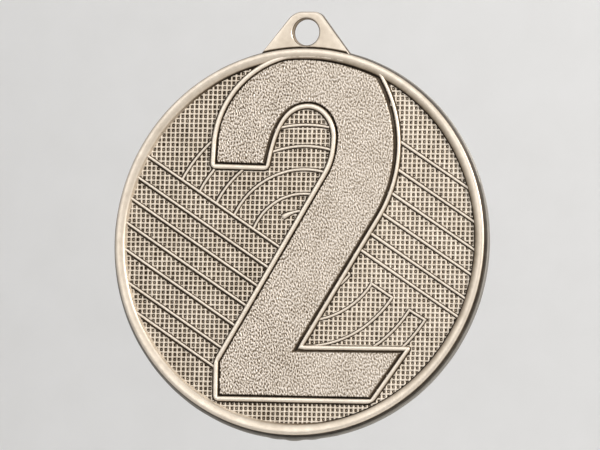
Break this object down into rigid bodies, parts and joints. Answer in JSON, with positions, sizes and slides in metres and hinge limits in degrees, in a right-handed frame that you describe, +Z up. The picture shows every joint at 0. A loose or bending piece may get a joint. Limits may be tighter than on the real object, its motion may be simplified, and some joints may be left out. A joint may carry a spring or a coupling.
{
  "type": "medal",
  "caption": "Round die-cast awards medal with a raised rim, a large place numeral over a track relief, and a hanging lug with a hole.",
  "frame": {"origin": "centre of the hole in the hanging lug, half way through the thickness", "axes": "+Z up from the disc to the lug, +X to the right seen from the front, the front with the numeral faces -Y, and +Y is through the thickness to the reverse"},
  "size_m": [0.05, 0.0022, 0.0546],
  "materials": {
    "cast_metal": "antique warm silver, satin, with a fine cast grain",
    "patinated_metal": "the same metal with dark brown patina left in its pits and crevices"
  },
  "bodies": {
    "root": {"hanging_lug": "cast_metal", "disc_plate": "cast_metal", "rim_ring": "cast_metal", "reverse_rim": "cast_metal", "numeral_border": "cast_metal", "numeral_panel": "cast_metal", "field_plate": "patinated_metal", "left_ridge_1": "cast_metal", "left_ridge_2": "cast_metal", "left_ridge_3": "cast_metal", "left_ridge_4": "cast_metal", "left_ridge_5": "cast_metal", "left_ridge_6": "cast_metal", "left_ridge_7": "cast_metal", "right_ridge_1": "cast_metal", "right_ridge_2": "cast_metal", "right_ridge_3": "cast_metal", "right_ridge_4": "cast_metal", "right_ridge_5": "cast_metal", "right_ridge_6": "cast_metal", "bend_ridge_1": "cast_metal", "bend_ridge_2": "cast_metal", "bend_ridge_3": "cast_metal", "bend_ridge_4": "cast_metal", "bend_ridge_5": "cast_metal", "bowl_ridge_1": "cast_metal", "bowl_ridge_2": "cast_metal", "short_ridge": "cast_metal", "lane_1": "cast_metal", "lane_2": "cast_metal"}
  },
  "joints": []
}
